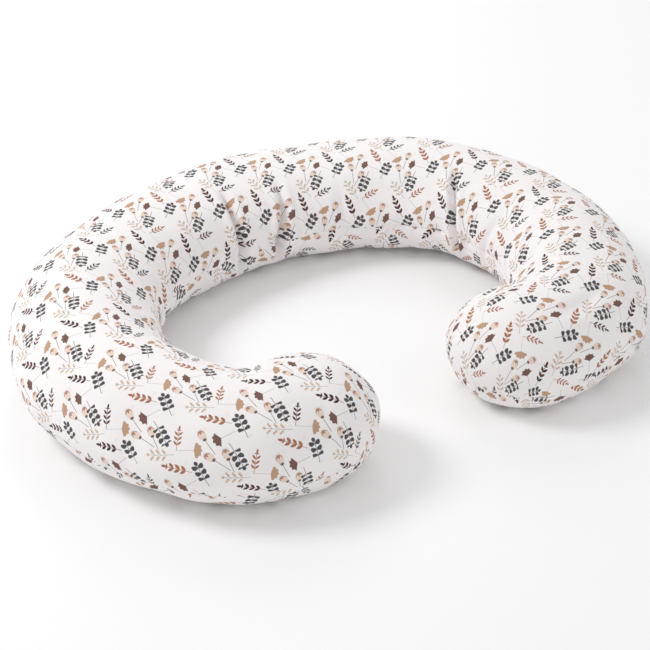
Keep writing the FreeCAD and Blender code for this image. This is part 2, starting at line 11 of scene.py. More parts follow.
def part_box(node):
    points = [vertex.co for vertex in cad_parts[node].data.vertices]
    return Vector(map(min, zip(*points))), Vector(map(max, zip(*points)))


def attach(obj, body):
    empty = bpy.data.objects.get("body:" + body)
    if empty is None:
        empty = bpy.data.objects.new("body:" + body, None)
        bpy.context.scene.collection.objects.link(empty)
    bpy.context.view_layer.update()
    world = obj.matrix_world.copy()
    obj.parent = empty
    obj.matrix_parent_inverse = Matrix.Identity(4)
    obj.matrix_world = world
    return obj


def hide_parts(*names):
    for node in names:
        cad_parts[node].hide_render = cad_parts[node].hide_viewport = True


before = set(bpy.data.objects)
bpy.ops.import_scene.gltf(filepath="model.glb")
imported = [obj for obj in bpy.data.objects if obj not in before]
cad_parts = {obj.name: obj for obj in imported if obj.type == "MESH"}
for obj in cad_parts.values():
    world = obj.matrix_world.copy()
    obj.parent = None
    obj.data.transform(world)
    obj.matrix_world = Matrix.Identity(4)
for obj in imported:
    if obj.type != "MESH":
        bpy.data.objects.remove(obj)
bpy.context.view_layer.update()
MM = 0.001

# ---- the pillow's plan and section, repeated from the CAD frame ---------------------------
SPINE_RADIUS = 0.412
SHOULDER_RADIUS = 0.226
LOBE_RADIUS = 0.105
SPINE_TURN = math.radians(24.5)
SHOULDER_TURN = math.radians(108)
LOBE_TURN = math.radians(60)
HALF_WIDTH = 0.087
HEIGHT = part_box("cover_top_panel")[1].z
SEAM_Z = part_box("cover_top_panel")[0].z
SIDE_RADIUS = 0.048
BACK_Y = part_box("cover_top_panel")[1].y
SPINE_AXIS_Y = BACK_Y - SPINE_RADIUS - HALF_WIDTH
SPINE_LENGTH = SPINE_RADIUS * SPINE_TURN
SHOULDER_LENGTH = SHOULDER_RADIUS * SHOULDER_TURN
HALF_LENGTH = SPINE_LENGTH + SHOULDER_LENGTH + LOBE_RADIUS * LOBE_TURN
UNBEND = 0.72           # how much of the plan's curve is already cut into the cloth
FACE = SPINE_RADIUS + HALF_WIDTH

def heading_at(s):
    """Angle that the centreline has turned through after a signed length s."""
    a = np.abs(s)
    turn = np.minimum(a, SPINE_LENGTH) / SPINE_RADIUS
    turn = turn + np.clip(a - SPINE_LENGTH, 0, SHOULDER_LENGTH) / SHOULDER_RADIUS
    turn = turn + np.maximum(a - SPINE_LENGTH - SHOULDER_LENGTH, 0) / LOBE_RADIUS
    return np.sign(s) * turn


def walk(headings, step):
    """Points reached by walking along a list of headings."""
    mean = (headings[1:] + headings[:-1]) / 2
    x = np.concatenate([[0], np.cumsum(np.cos(mean) * step)])
    y = np.concatenate([[0], np.cumsum(-np.sin(mean) * step)])
    return x, y


PLAN_S = np.linspace(0, HALF_LENGTH, 1501)
PLAN_STEP = PLAN_S[1] - PLAN_S[0]
PLAN_X, PLAN_Y = walk(heading_at(PLAN_S), PLAN_STEP)
PLAN_Y = PLAN_Y + SPINE_AXIS_Y + SPINE_RADIUS
FLAT_X, FLAT_Y = walk(UNBEND * heading_at(PLAN_S), PLAN_STEP)


def on_centreline(s, flat=False):
    """Place and outward direction of the centreline, on the pillow or on the flat cloth."""
    xs, ys, bend = (FLAT_X, FLAT_Y, UNBEND) if flat else (PLAN_X, PLAN_Y, 1)
    side = np.where(s < 0, -1.0, 1.0)
    x = np.interp(np.abs(s), PLAN_S, xs) * side
    y = np.interp(np.abs(s), PLAN_S, ys)
    turn = bend * heading_at(np.clip(s, -HALF_LENGTH, HALF_LENGTH))
    return x, y, turn


def section_curve(top):
    """The section from its middle to the seam: length along it, reach and height."""
    if top:
        rise = HEIGHT - SEAM_Z
        crown = ((HALF_WIDTH - SIDE_RADIUS) ** 2 + rise ** 2 - SIDE_RADIUS ** 2)
        crown = crown / (2 * (rise - SIDE_RADIUS))
        join = math.atan2(SEAM_Z - (HEIGHT - crown), HALF_WIDTH - SIDE_RADIUS)
        a = np.linspace(math.pi / 2, join, 200)
        b = np.linspace(join, 0, 200)[1:]
        reach = np.concatenate([crown * np.cos(a),
                                HALF_WIDTH - SIDE_RADIUS + SIDE_RADIUS * np.cos(b)])
        up = np.concatenate([HEIGHT - crown + crown * np.sin(a), SEAM_Z + SIDE_RADIUS * np.sin(b)])
    else:
        flat = np.linspace(0, HALF_WIDTH - SEAM_Z, 100)
        a = np.linspace(-math.pi / 2, 0, 200)[1:]
        reach = np.concatenate([flat, HALF_WIDTH - SEAM_Z + SEAM_Z * np.cos(a)])
        up = np.concatenate([np.zeros(100), SEAM_Z + SEAM_Z * np.sin(a)])
    along = np.concatenate([[0], np.cumsum(np.hypot(np.diff(reach), np.diff(up)))])
    return along, reach, up


TOP_CURVE = section_curve(True)
BASE_CURVE = section_curve(False)
TOP_HALF = TOP_CURVE[0][-1]
BASE_HALF = BASE_CURVE[0][-1]
HALF_ROUND = TOP_HALF + BASE_HALF
OUTLINE = (np.concatenate([TOP_CURVE[0], HALF_ROUND - BASE_CURVE[0][-2::-1]]),
           np.concatenate([TOP_CURVE[1], BASE_CURVE[1][-2::-1]]),
           np.concatenate([TOP_CURVE[2], BASE_CURVE[2][-2::-1]]))


def section_point(c, top):
    """Reach and height at a cloth distance c from the middle of the top or the base."""
    along, reach, up = OUTLINE
    a = np.abs(c) if top else HALF_ROUND - np.abs(c)
    return np.interp(a, along, reach), np.interp(a, along, up)


def smooth_step(low, high, value):
    t = np.clip((value - low) / (high - low), 0, 1)
    return t * t * (3 - 2 * t)


def width_at(s):
    """The tube is a little fuller at the shoulders and slimmer at the lobes."""
    a = np.abs(s)
    fuller = 0.03 * np.exp(-((a - 0.36) / 0.13) ** 2) * smooth_step(0.165, 0.26, a)
    slimmer = 0.045 / (1 + np.exp(-(a - 0.58) / 0.03))
    return 1 + fuller - slimmer


def waves(p, length, seed, count=14):
    """Smooth random field, about -1 to 1, with a given wavelength."""
    local = np.random.default_rng(seed)
    total = np.zeros(len(p))
    for _ in range(count):
        way = local.normal(size=3)
        way = way / np.linalg.norm(way)
        total += np.sin(p @ way * 2 * math.pi / (length * local.uniform(0.75, 1.4))
                        + local.uniform(0, 2 * math.pi))
    return total / math.sqrt(count)


# ---- the cover as one closed skin ------------------------------------------------------------
# creases tucked into the cloth: (s, c) from the crown to the inner seam, depth, half width
CREASES = [
    ([(-0.050, -0.020), (-0.056, -0.075), (-0.061, -0.122)], 0.0155, 0.0046),
    ([(0.032, -0.030), (0.024, -0.088), (0.008, -0.121)], 0.0135, 0.0045),
    ([(0.292, -0.020), (0.318, -0.070), (0.348, -0.121)], 0.0130, 0.0048),
]
# soft dents: s, c, depth, spread along s, spread along c
DENTS = [
    (-0.237, -0.060, 0.0040, 0.012, 0.040),
    (-0.272, -0.105, 0.0035, 0.010, 0.030),
    (0.660, 0.040, 0.0040, 0.030, 0.010),
    (0.640, 0.092, 0.0045, 0.012, 0.020),
    (0.560, -0.080, 0.0040, 0.010, 0.026),
    (-0.560, 0.100, 0.0035, 0.012, 0.024),
    (0.120, -0.100, 0.0030, 0.008, 0.028),
    (-0.410, -0.095, 0.0040, 0.008, 0.030),
    (0.425, -0.100, 0.0045, 0.008, 0.030),
]


ZIP_HALF_LENGTH = SPINE_RADIUS * math.radians(21.5)
ZIP_OPENING = 0.011
LABEL_HEADING = math.radians(147)
LABEL_S = (SPINE_LENGTH + SHOULDER_LENGTH
           + LOBE_RADIUS * (LABEL_HEADING - SPINE_TURN - SHOULDER_TURN))
LABEL_MEETS = 0.0012    # the skin is drawn out this far past the widest line, under the label
LABEL_SPREAD = 0.035
SEAM_SINK = 0.017       # how far the outer seam slips down round the lobes
ZIP_END = 0.004         # the opening tapers shut over this length
ZIP_EASE = 0.03         # how far from the zip the cloth is drawn back to make room for it
# where the cloth starts to leave its exact shape round the zip, and where it is free
ZIP_FADE_ALONG = (math.radians(24.5), math.radians(29))
ZIP_FADE_INWARD = (FACE - 0.050, FACE - 0.025)
ZIP_FADE_DOWN = (0.036, 0.050)
ZIP_FADE_UP = (0.018, 0.036)
# the two panels are cut from different places of the printed cloth
PRINT_SHIFT = {True: np.zeros(2), False: np.array([0.031, 0.019])}
HEM_STEPS = ((0.0005, 0.0), (0.0002, 0.004))    # inward and back from the opening's edge
SIM_FRAMES = 20
SIM_PRESSURE = 4.0
SIM_CAP = 0.006


GATHER_REACH = (0.022, 0.011)       # on the inside and on the outside of the C
GATHER_DEPTH = (0.0016, 0.0006)
LUMPS = [(0.0016, 0.13, 33), (0.0008, 0.055, 34)]       # depth, wavelength, seed
SEAM_GROOVES = [(0.0009, 0.0022), (0.0006, 0.010)]      # depth, half width
CREASE_ON = 0.03        # a crease runs this far past the seam


def skin_point(s, c, top):
    """Points of the skin at length s and cloth distance c from the middle, c > 0 outside."""
    r, z = section_point(c, top)
    r = r * np.sign(c) * width_at(s)
    x, y, turn = on_centreline(s)
    return np.stack([x + np.sin(turn) * r, y + np.cos(turn) * r, z], -1)


def dome_point(side, angle, c, top):
    """Points of a lobe's round end: angle sweeps from its outer side to its inner side."""
    r, z = section_point(c, top)
    r = r * width_at(HALF_LENGTH)
    x, y, turn = on_centreline(np.array(side * HALF_LENGTH))
    aim = turn + side * angle
    return np.stack([x + np.sin(aim) * r, y + np.cos(aim) * r, z], -1)


def cloth_place(s, c):
    """Where a skin point lies on the flat cloth."""
    x, y, turn = on_centreline(s, flat=True)
    return np.stack([x + np.sin(turn) * c, y + np.cos(turn) * c], -1)


def dome_cloth_place(side, angle, c):
    x, y, turn = on_centreline(np.array(side * HALF_LENGTH), flat=True)
    aim = turn + side * angle
    return np.stack([x + np.sin(aim) * c, y + np.cos(aim) * c], -1)


def sagged(s, c, top, angle=0.0):
    """Cloth distance once the outer seam has sunk below the widest level, away from the zip."""
    sink = SEAM_SINK * smooth_step(0.17, 0.30, np.abs(s)) * smooth_step(-1.0, -0.3, np.cos(angle))
    sink = sink * (1 - np.exp(-((s - LABEL_S) / 0.045) ** 2))
    share = sink / TOP_HALF if top else -sink / BASE_HALF
    return c * (1 + np.where(c > 0, share, 0.0))


def grid_faces(rows, columns, offset, flip):
    faces = []
    for i in range(rows - 1):
        for j in range(columns - 1):
            a = offset + i * columns + j
            quad = [a, a + 1, a + columns + 1, a + columns]
            faces.append(quad[::-1] if flip else quad)
    return faces


def opened(s, c, half):
    """Cloth distance once the outer edge is drawn back to leave the zip's opening."""
    along = np.clip((ZIP_HALF_LENGTH - np.abs(s)) / ZIP_END, 0, 1)
    share = np.clip((c - half + ZIP_EASE) / ZIP_EASE, 0, 1)
    return c - ZIP_OPENING / 2 * along * share


def long_patch(top, rows, columns):
    """One panel between the lobes' ends: places, cloth places, s and c, distance from the seam."""
    half = TOP_HALF if top else BASE_HALF
    s = np.linspace(-HALF_LENGTH, HALF_LENGTH, rows)
    c = np.linspace(-half, half, columns)
    S, C = [a.ravel() for a in np.meshgrid(s, c, indexing="ij")]
    edge = sagged(S, np.sign(C) * half, top) * np.sign(C)
    C = sagged(S, C, top)
    flat = cloth_place(S, opened(S, C, half)) + PRINT_SHIFT[top]
    seam = np.where(C == 0, half, edge) - np.abs(C)
    return skin_point(S, C, top), flat, np.stack([S, C], -1), seam


def end_patch(top, side, rows, columns):
    """One panel of a lobe's round end, with the same four results."""
    half = TOP_HALF if top else BASE_HALF
    angle = np.linspace(0, math.pi, rows)
    near = np.linspace(0, half, columns)
    A, C = [a.ravel() for a in np.meshgrid(angle, near, indexing="ij")]
    edge = sagged(side * HALF_LENGTH, np.full(len(C), half), top, A)
    C = sagged(side * HALF_LENGTH, C, top, A)
    flat = dome_cloth_place(side, A, C) + PRINT_SHIFT[top]
    place = np.stack([side * (HALF_LENGTH + np.sin(A) * C), np.cos(A) * C], -1)
    return dome_point(side, A, C, top), flat, place, edge - C


def skin_mesh(name, spacing):
    """Both panels as one closed mesh, with a flat-cloth map and a map of s and c."""
    patches, faces, tops = [], [], []
    rows = int(2 * HALF_LENGTH / spacing) // 2 * 2 + 1
    turns = int(math.pi * HALF_WIDTH / spacing) + 1
    columns = int(TOP_HALF / spacing)
    count = 0
    for top in (False, True):
        wanted = [(long_patch(top, rows, 2 * columns + 1), rows, 2 * columns + 1, top)]
        for side in (-1, 1):
            patch = end_patch(top, side, turns, columns + 1)
            wanted.append((patch, turns, columns + 1, top == (side > 0)))
        for patch, high, wide, flip in wanted:
            patches.append(patch)
            faces += grid_faces(high, wide, count, flip)
            count += high * wide
        tops += [int(top)] * (len(faces) - len(tops))
    points, flats, tubes, seams = [np.concatenate(part) for part in zip(*patches)]
    mesh = bpy.data.meshes.new(name)
    mesh.from_pydata(points.tolist(), [], faces)
    add_skin_layers(mesh, flats, tubes, seams, tops)
    obj = bpy.data.objects.new(name, mesh)
    bpy.context.scene.collection.objects.link(obj)
    weld(obj)
    return obj


def add_skin_layers(mesh, flats, tubes, seams, tops):
    loops = np.zeros(len(mesh.loops), int)
    mesh.loops.foreach_get("vertex_index", loops)
    for layer, values in (("Print", flats), ("Tube", tubes)):
        uv = mesh.uv_layers.new(name=layer)
        uv.data.foreach_set("uv", values[loops].ravel())
    from_seam = mesh.attributes.new("from_seam", "FLOAT", "POINT")
    from_seam.data.foreach_set("value", seams)
    which = mesh.attributes.new("is_top", "INT", "FACE")
    which.data.foreach_set("value", tops)


def weld(obj, distance=0.00002):
    mesh = bmesh.new()
    mesh.from_mesh(obj.data)
    bmesh.ops.remove_doubles(mesh, verts=mesh.verts, dist=distance)
    bmesh.ops.recalc_face_normals(mesh, faces=mesh.faces)
    mesh.to_mesh(obj.data)
    mesh.free()
    smooth(obj.data)


def smooth(mesh):
    mesh.polygons.foreach_set("use_smooth", [True] * len(mesh.polygons))
    mesh.update()


def apply_modifiers(obj):
    """Replaces the object's mesh by what its modifiers make of it."""
    graph = bpy.context.evaluated_depsgraph_get()
    made = bpy.data.meshes.new_from_object(obj.evaluated_get(graph), depsgraph=graph)
    made.name = obj.data.name
    obj.modifiers.clear()
    obj.data = made


def get_points(mesh):
    points = np.zeros(len(mesh.vertices) * 3)
    mesh.vertices.foreach_get("co", points)
    return points.reshape(-1, 3)


def set_points(mesh, points):
    mesh.vertices.foreach_set("co", points.ravel())
    mesh.update()


def get_normals(mesh):
    normals = np.zeros(len(mesh.vertices) * 3)
    mesh.vertex_normals.foreach_get("vector", normals)
    return normals.reshape(-1, 3)


def tube_place(mesh):
    """s, c and whether it is on the top panel, for every vertex. Seam vertices count as top."""
    corner = np.zeros(len(mesh.loops), int)
    mesh.loops.foreach_get("vertex_index", corner)
    values = np.zeros(len(mesh.loops) * 2)
    mesh.uv_layers["Tube"].data.foreach_get("uv", values)
    values = values.reshape(-1, 2)
    face_top = np.zeros(len(mesh.polygons), int)
    mesh.attributes["is_top"].data.foreach_get("value", face_top)
    sizes = np.zeros(len(mesh.polygons), int)
    mesh.polygons.foreach_get("loop_total", sizes)
    loop_top = np.repeat(face_top, sizes)
    place = np.zeros((len(mesh.vertices), 2))
    is_top = np.zeros(len(mesh.vertices), bool)
    for flag in (0, 1):
        chosen = loop_top == flag
        place[corner[chosen]] = values[chosen]
        is_top[corner[chosen]] = bool(flag)
    return place[:, 0], place[:, 1], is_top


def seam_distance(mesh):
    """Distance along the cloth from the seam, for every vertex."""
    values = np.zeros(len(mesh.vertices))
    mesh.attributes["from_seam"].data.foreach_get("value", values)
    return np.maximum(values, 0)


def zip_nearness(points):
    """1 on the back seam where the zip is sewn in, 0 well away from it."""
    x, y = points[:, 0], points[:, 1] - SPINE_AXIS_Y
    along = 1 - smooth_step(*ZIP_FADE_ALONG, np.abs(np.arctan2(x, y)))
    out = smooth_step(*ZIP_FADE_INWARD, np.hypot(x, y)) * (y > 0)
    up = 1 - smooth_step(*ZIP_FADE_DOWN, SEAM_Z - points[:, 2])
    up = up * (1 - smooth_step(*ZIP_FADE_UP, points[:, 2] - SEAM_Z))
    return along * out * up


def inflate(obj):
    """Cloth simulation: the cover is blown up from inside, then no point moves past a cap."""
    before = get_points(obj.data)
    slack = obj.vertex_groups.new(name="slack")
    c = tube_place(obj.data)[1]
    inner = smooth_step(0.02, 0.11, -c)
    for i in range(len(c)):
        slack.add([i], float(inner[i]), "REPLACE")
    cloth = obj.modifiers.new("Cloth", "CLOTH")
    settings = cloth.settings
    settings.quality = 5
    settings.mass = 0.2
    settings.tension_stiffness = 25
    settings.compression_stiffness = 12
    settings.shear_stiffness = 8
    settings.bending_stiffness = 0.35
    settings.use_pressure = True
    settings.uniform_pressure_force = SIM_PRESSURE
    settings.shrink_min = 0.0
    settings.shrink_max = -0.035
    settings.vertex_group_shrink = "slack"
    settings.effector_weights.gravity = 0
    cloth.collision_settings.use_collision = False
    cloth.point_cache.frame_start = 1
    cloth.point_cache.frame_end = SIM_FRAMES
    scene = bpy.context.scene
    for number in range(1, SIM_FRAMES + 1):
        scene.frame_set(number)
    apply_modifiers(obj)
    scene.frame_set(1)
    moved = get_points(obj.data) - before
    length = np.linalg.norm(moved, axis=1)
    share = SIM_CAP * np.tanh(length / SIM_CAP) / np.maximum(length, 1e-9)
    share = share * (1 - zip_nearness(before))
    set_points(obj.data, before + moved * share[:, None])
    obj.vertex_groups.clear()


def path_distance(s, a, path):
    """Distance to a broken line in the (s, a) plane, and how far along it, 0 to 1."""
    best = np.full(len(s), np.inf)
    along = np.zeros(len(s))
    count = len(path) - 1
    for i in range(count):
        p, q = np.array(path[i]), np.array(path[i + 1])
        way = q - p
        t = np.clip(((s - p[0]) * way[0] + (a - p[1]) * way[1]) / (way @ way), 0, 1)
        d = np.hypot(s - p[0] - t * way[0], a - p[1] - t * way[1])
        along = np.where(d < best, (i + t) / count, along)
        best = np.minimum(best, d)
    return best, along


def crease_depth(s, a):
    total = np.zeros(len(s))
    for path, depth, width in CREASES:
        end = path[-1]
        path = path + [(end[0], end[1] - CREASE_ON)]
        d, t = path_distance(s, a, path)
        grow = smooth_step(0.0, 0.30, t) * (1 - 0.6 * smooth_step(0.75, 1.0, t))
        valley = np.exp(-(d / width) ** 1.4)
        lip = np.exp(-((d - 2.6 * width) / (1.3 * width)) ** 2)
        total += depth * grow * (valley - 0.22 * lip)
    return total


def pucker_depth(seam, points, inner):
    """Small gathers that run out from the seam, larger on the inside of the C."""
    near = np.exp(-seam / np.where(inner, *GATHER_REACH))
    fine = waves(points * [1, 1, 0.2], 0.017, 31)
    broad = waves(points * [1, 1, 0.15], 0.038, 32)
    return near * np.where(inner, *GATHER_DEPTH) * (0.5 * fine + broad)


def meet_label(points):
    """Draws the skin gently out to the side label's sewn end."""
    x, y, turn = on_centreline(LABEL_S)
    out = np.array([np.sin(turn), np.cos(turn), 0])
    sewn = np.array([x, y, SEAM_Z]) + out * (HALF_WIDTH + LABEL_MEETS)
    away = np.linalg.norm(points - sewn, axis=1)
    gap = (sewn - points[np.argmin(away)]) @ out
    return points + out * gap * np.exp(-(away / LABEL_SPREAD) ** 2)[:, None]


def shape_skin(obj):
    """Moves the cover along its normals: seam groove, gathers, creases, dents and lumps."""
    mesh = obj.data
    points, normals = get_points(mesh), get_normals(mesh)
    s, c, is_top = tube_place(mesh)
    seam = seam_distance(mesh)
    side = np.where(c < 0, -1.0, 1.0)
    a = np.where(is_top, c, side * (HALF_ROUND - np.abs(c)))
    inner = (c < 0) & (np.abs(s) < HALF_LENGTH)
    depth = crease_depth(s, a) + pucker_depth(seam, points, inner)
    for ds, da, deep, wide, tall in DENTS:
        depth += deep * np.exp(-((s - ds) / wide) ** 2 - ((a - da) / tall) ** 2)
    for size, length, seed in LUMPS:
        depth += size * waves(points, length, seed)
    for deep, wide in SEAM_GROOVES:
        depth += deep * np.exp(-(seam / wide) ** 2)
    depth *= 1 - zip_nearness(points)
    points = meet_label(points - normals * depth[:, None])
    points[:, 2] = np.maximum(points[:, 2], 0.0)
    set_points(mesh, points)


def copy_skin(source, name, top=None, depth=0.0):
    """A copy of the skin, moved in by depth; top True or False keeps only that panel."""
    obj = bpy.data.objects.new(name, source.data.copy())
    obj.data.name = name
    bpy.context.scene.collection.objects.link(obj)
    if depth:
        shift_in(obj.data, depth)
    if top is not None:
        keep_panel(obj.data, top)
    return obj


def shift_in(mesh, depth):
    points = get_points(mesh) - get_normals(mesh) * depth
    points[:, 2] = np.maximum(points[:, 2], depth)
    set_points(mesh, points)


def keep_panel(mesh, top):
    edit = bmesh.new()
    edit.from_mesh(mesh)
    which = edit.faces.layers.int["is_top"]
    gone = [face for face in edit.faces if face[which] != int(top)]
    bmesh.ops.delete(edit, geom=gone, context="FACES")
    edit.to_mesh(mesh)
    edit.free()


def open_zip(mesh, top):
    """Draws the panel's edge back from the seam where the zip is, and folds a hem inward."""
    half = TOP_HALF if top else BASE_HALF
    s, c, _ = tube_place(mesh)
    moved = skin_point(s, opened(s, c, half), top) - skin_point(s, c, top)
    set_points(mesh, get_points(mesh) + moved)
    edit = bmesh.new()
    edit.from_mesh(mesh)
    tube = edit.loops.layers.uv["Tube"]
    rim = []
    for edge in edit.edges:
        if edge.is_boundary:
            place = edge.link_loops[0][tube].uv
            if place.y > 0 and abs(place.x) < ZIP_HALF_LENGTH - 0.002:
                rim.append(edge)
    for inward, back in HEM_STEPS:
        made = bmesh.ops.extrude_edge_only(edit, edges=rim)["geom"]
        rim = [item for item in made if isinstance(item, bmesh.types.BMEdge)]
        for vert in {v for edge in rim for v in edge.verts}:
            out = Vector((vert.co.x, vert.co.y - SPINE_AXIS_Y, 0)).normalized()
            vert.co -= out * inward
            vert.co.z += back if top else -back
    edit.to_mesh(mesh)
    edit.free()
    smooth(mesh)


# ---- formulas in shaders ---------------------------------------------------------------------
class Term:
    """A number worked out in a shader, so that a formula can be written with + - * and /."""

    def __init__(self, tree, socket):
        self.tree = tree
        self.socket = socket

    def math(self, kind, *others, swap=False, clamp=False):
        node = self.tree.nodes.new("ShaderNodeMath")
        node.operation = kind
        node.use_clamp = clamp
        values = [self, *others]
        fill_inputs(self.tree, node, values[::-1] if swap else values)
        return Term(self.tree, node.outputs[0])

    def __add__(self, other):
        return self.math("ADD", other)

    def __sub__(self, other):
        return self.math("SUBTRACT", other)

    def __rsub__(self, other):
        return self.math("SUBTRACT", other, swap=True)

    def __mul__(self, other):
        return self.math("MULTIPLY", other)

    def __truediv__(self, other):
        return self.math("DIVIDE", other)

    def __abs__(self):
        return self.math("ABSOLUTE")

    __radd__ = __add__
    __rmul__ = __mul__


def fill_inputs(tree, node, values):
    for place, value in enumerate(values):
        if isinstance(value, Term):
            tree.links.new(value.socket, node.inputs[place])
        else:
            node.inputs[place].default_value = value


def weigh(a, b, ka, kb, k):
    """ka * a + kb * b + k"""
    return a.math("MULTIPLY_ADD", ka, b.math("MULTIPLY_ADD", kb, k))


def length_of(a, b):
    tree = a.tree
    pair = tree.nodes.new("ShaderNodeCombineXYZ")
    fill_inputs(tree, pair, [a, b])
    node = tree.nodes.new("ShaderNodeVectorMath")
    node.operation = "LENGTH"
    tree.links.new(pair.outputs[0], node.inputs[0])
    return Term(tree, node.outputs["Value"])


def vector_op(tree, kind, *values):
    node = tree.nodes.new("ShaderNodeVectorMath")
    node.operation = kind
    for place, value in enumerate(values):
        if isinstance(value, bpy.types.NodeSocket):
            tree.links.new(value, node.inputs[place])
        else:
            node.inputs[place].default_value = value
    return node.outputs["Value" if kind == "DOT_PRODUCT" else "Vector"]


def below(distance, edge=0.22):
    """1 where distance is under 0, with an edge a little soft, as ink on cloth."""
    node = distance.tree.nodes.new("ShaderNodeMapRange")
    fill_inputs(distance.tree, node, [distance, edge, -edge, 0.0, 1.0])
    return Term(distance.tree, node.outputs[0])


def either(*masks):
    total = masks[0]
    for mask in masks[1:]:
        total = total.math("MAXIMUM", mask)
    return total


def between(value, low, high):
    """1 where low < value < high."""
    return below(abs(value - (low + high) / 2) - (high - low) / 2)


def mix_color(tree, share, under, over):
    node = tree.nodes.new("ShaderNodeMix")
    node.data_type = "RGBA"
    tree.links.new(share.socket if isinstance(share, Term) else share, node.inputs[0])
    for place, value in ((6, under), (7, over)):
        if isinstance(value, bpy.types.NodeSocket):
            tree.links.new(value, node.inputs[place])
        else:
            node.inputs[place].default_value = value
    return node.outputs[2]


def linear(red, green, blue):
    """A colour given as 0-255 screen values."""
    def channel(value):
        value = value / 255
        return value / 12.92 if value <= 0.04045 else ((value + 0.055) / 1.055) ** 2.4
    return channel(red), channel(green), channel(blue), 1.0


# ---- the print: a generic botanical repeat, in millimetres on the flat cloth ------------------
REPEAT_A = np.array([-1.0, -80.0])
REPEAT_B = np.array([-61.0, -58.0])
REPEAT_START = np.array([-394.3, -418.4])
LIGHT_BRANCH_SHARE = 0.48
GROUND = linear(250, 246, 246)
CHARCOAL = linear(47, 44, 48)
DARK_BROWN = linear(80, 44, 37)
TERRACOTTA = linear(174, 116, 88)
TAN = linear(196, 160, 128)
BLUSH = linear(238, 219, 206)
CREAM = linear(224, 200, 177)
GREY_INK = linear(118, 115, 117)
PALE_BLUSH = linear(247, 239, 235)


class Print:
    """Places motifs on the repeat and gathers their shapes by colour."""

    def __init__(self, tree):
        self.tree = tree
        self.inks = []
        uv = tree.nodes.new("ShaderNodeUVMap")
        uv.uv_map = "Print"
        inverse = np.linalg.inv(np.stack([REPEAT_A, REPEAT_B], 1))
        start = -inverse @ REPEAT_START
        parts = []
        for row, offset in zip(inverse / MM, start):
            value = Term(tree, vector_op(tree, "DOT_PRODUCT", uv.outputs[0], (*row, 0)))
            parts.append(value + float(offset))
        pair = tree.nodes.new("ShaderNodeCombineXYZ")
        fill_inputs(tree, pair, parts)
        self.place = pair.outputs[0]
        self.to_cell = inverse

    def motif(self, base, tip):
        """Millimetres along and across a motif, from its base to its tip, and its length."""
        base, tip = np.array(base, float), np.array(tip, float)
        size = float(np.linalg.norm(tip - base))
        way = (tip - base) / size
        offset = 0.5 - self.to_cell @ ((base + tip) / 2)
        shifted = vector_op(self.tree, "ADD", self.place, (*offset, 0))
        cell = vector_op(self.tree, "FRACTION", shifted)
        found = []
        for axis, middle in ((way, size / 2), (np.array([-way[1], way[0]]), 0.0)):
            weights = np.array([REPEAT_A @ axis, REPEAT_B @ axis])
            value = Term(self.tree, vector_op(self.tree, "DOT_PRODUCT", cell, (*weights, 0)))
            found.append(value + float(middle - weights.sum() / 2))
        return found[0], found[1], size, shifted

    def ink(self, mask, color, strength=1.0):
        self.inks.append((mask, color, strength))


def leaf(along, across, start, out, angle, length, width):
    """A pointed leaf whose foot is at (start, out)."""
    c, s = math.cos(math.radians(angle)), math.sin(math.radians(angle))
    p = weigh(along, across, c / length, s / length, -(c * start + s * out) / length)
    q = weigh(along, across, -s, c, s * start - c * out)
    bulge = p * (1 - p)
    return below(abs(q) - bulge * (2 * width))


def oval(along, across, start, out, angle, long, wide):
    c, s = math.cos(math.radians(angle)), math.sin(math.radians(angle))
    p = weigh(along, across, c / long, s / long, -(c * start + s * out) / long)
    q = weigh(along, across, -s / wide, c / wide, (s * start - c * out) / wide)
    return below(length_of(p, q) - 1, 0.12)


def stem(along, across, low, high, half_width=0.28):
    return below(abs(across) - half_width) * between(along, low, high)


def bent(along, across, size, bow):
    """The across value for a motif whose stem bows sideways."""
    return across + along * (along - size) * (bow / size)


def paired_branch(p, base, tip, pitch, leaf_size, angle, bow):
    """A branch with leaves in pairs and one at the tip, dark or light from cell to cell."""
    along, across, size, cell = p.motif(base, tip)
    across = bent(along, across, size, bow)
    step = along.math("MODULO", pitch)
    side = abs(across)
    length, width = leaf_size
    leaves = leaf(step, side, 0.1, 0.1, angle, length, width)
    leaves = leaves * between(along, pitch * 0.9, size - length * 0.8)
    end = leaf(along, across, size - length, 0, 0, length, width)
    shape = either(leaves, end, stem(along, across, 0, size - length))
    pick = p.tree.nodes.new("ShaderNodeTexWhiteNoise")
    pick.noise_dimensions = "2D"
    whole = vector_op(p.tree, "FLOOR", cell)
    p.tree.links.new(whole, pick.inputs["Vector"])
    dark = Term(p.tree, pick.outputs["Value"]).math("GREATER_THAN", LIGHT_BRANCH_SHARE)
    p.ink(shape, mix_color(p.tree, dark, TERRACOTTA, DARK_BROWN))


def eucalyptus(p, base, tip, bow):
    """Round leaves in pairs on a thin dark stem."""
    along, across, size, _ = p.motif(base, tip)
    across = bent(along, across, size, bow)
    pitch = 6.6
    leaf_place, leaf_long, leaf_wide = 3.3, 2.9, 2.0
    step = along.math("MODULO", pitch)
    side = abs(across)
    shapes = []
    for out, angle in ((3.0, 65), (4.2, 20)):
        shapes.append(oval(step, side, leaf_place, out, angle, leaf_long, leaf_wide))
    leaves = either(*shapes) * between(along, size * 0.30, size - 2.2)
    end = oval(along, across, size - 1.4, 0, 0, 2.4, 2.0)
    shape = either(leaves, end, stem(along, across, 0, size))
    p.ink(shape, CHARCOAL, 0.93)


